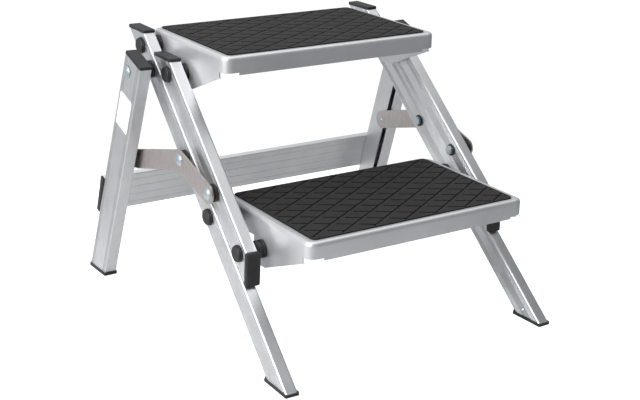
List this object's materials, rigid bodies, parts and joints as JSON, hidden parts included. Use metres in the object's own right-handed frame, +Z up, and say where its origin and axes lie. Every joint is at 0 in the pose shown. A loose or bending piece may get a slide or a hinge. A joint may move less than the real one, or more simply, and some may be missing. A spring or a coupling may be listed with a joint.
{
  "type": "folding entry step",
  "caption": "Free-standing folding entry step for a caravan: aluminium side rails and rear legs, pressed treads with grooved rubber mats, black plastic caps and feet.",
  "frame": {"origin": "centre of the footprint, on the ground under the feet", "axes": "-Y is the front, where the user climbs on; +Y the rear, against the caravan; +X the right-hand side seen from the front; +Z up"},
  "size_m": [0.572, 0.5985, 0.4343],
  "materials": {
    "aluminium_profile": "satin mill finish, finely grooved",
    "tread_sheet": "pressed sheet with a light silver coat",
    "mat_rubber": "matte, diamond grooves",
    "brace_steel": "rolled stainless plate",
    "zinc": "bright zinc",
    "black_plastic": "moulded, fine grain"
  },
  "bodies": {
    "rear_frame": {"rear_rail_left": "aluminium_profile", "rear_rail_right": "aluminium_profile", "rear_rail_cap_left": "black_plastic", "rear_rail_cap_right": "black_plastic", "front_foot_left": "black_plastic", "front_foot_right": "black_plastic", "front_foot_screws": "zinc", "tread_bolts_rear": "zinc", "tread_nuts_rear": "zinc", "nut_caps_rear": "black_plastic", "tread_spacers_rear": "black_plastic", "brace_bolts_rear": "zinc", "brace_nuts_rear": "zinc", "brace_washers_rear": "black_plastic", "brace_spacers_rear": "black_plastic", "leg_pivot_bolts": "zinc", "leg_pivot_nuts": "zinc", "leg_spacers": "black_plastic"},
    "top_tread": {"tread_top": "tread_sheet", "mat_top": "mat_rubber"},
    "bottom_tread": {"tread_bottom": "tread_sheet", "mat_bottom": "mat_rubber"},
    "front_rails": {"front_rail_left": "aluminium_profile", "front_rail_right": "aluminium_profile", "front_rail_cap_left": "black_plastic", "front_rail_cap_right": "black_plastic", "front_rail_end_left": "black_plastic", "front_rail_end_right": "black_plastic", "tread_bolts_front": "zinc", "tread_nuts_front": "zinc", "nut_caps_front": "black_plastic", "tread_spacers_front": "black_plastic", "brace_bolts_front": "zinc", "brace_nuts_front": "zinc", "brace_washers_front": "black_plastic", "brace_spacers_front": "black_plastic"},
    "braces": {"brace_left": "brace_steel", "brace_right": "brace_steel", "slider_screws": "zinc"},
    "sliders": {"slider_left": "black_plastic", "slider_right": "black_plastic"},
    "rear_legs": {"rear_leg_left": "aluminium_profile", "rear_leg_right": "aluminium_profile", "leg_cap_left": "black_plastic", "leg_cap_right": "black_plastic", "rear_foot_left": "black_plastic", "rear_foot_right": "black_plastic", "rear_foot_screws": "zinc", "crossbar": "aluminium_profile", "crossbar_cap_left": "black_plastic", "crossbar_cap_right": "black_plastic", "crossbar_rivets": "zinc"}
  },
  "joints": [
    {"name": "fold", "type": "hinge", "parent": "rear_frame", "child": "top_tread", "pos_m": [0, 0.18724, 0.4095], "axis": [-1, 0, 0], "range_deg": [0, 129]},
    {"name": "bottom_tread_pivot", "type": "hinge", "parent": "rear_frame", "child": "bottom_tread", "pos_m": [0, -0.05492, 0.1945], "axis": [-1, 0, 0], "range_deg": [0, 129.1]},
    {"name": "brace_pivot", "type": "hinge", "parent": "rear_frame", "child": "braces", "pos_m": [0, 0.02385, 0.26443], "axis": [-1, 0, 0], "range_deg": [0, 129.1]},
    {"name": "front_rail_pivot", "type": "hinge", "parent": "top_tread", "child": "front_rails", "pos_m": [0, 0.09674, 0.3813], "axis": [-1, 0, 0], "range_deg": [-129.1, 0]},
    {"name": "leg_pivot", "type": "hinge", "parent": "rear_frame", "child": "rear_legs", "pos_m": [0, 0.15194, 0.37816], "axis": [-1, 0, 0], "range_deg": [0, 65.37]},
    {"name": "slider_pivot", "type": "hinge", "parent": "braces", "child": "sliders", "pos_m": [0, 0.17655, 0.22376], "axis": [-1, 0, 0], "range_deg": [-63.83, 0]}
  ],
  "couplings": [
    {"joint": "bottom_tread_pivot", "follows": "fold", "ratio": 1},
    {"joint": "brace_pivot", "follows": "fold", "ratio": 1},
    {"joint": "front_rail_pivot", "follows": "fold", "ratio": -1},
    {"joint": "leg_pivot", "follows": "fold", "ratio": 0.506},
    {"joint": "slider_pivot", "follows": "fold", "ratio": -0.494}
  ]
}
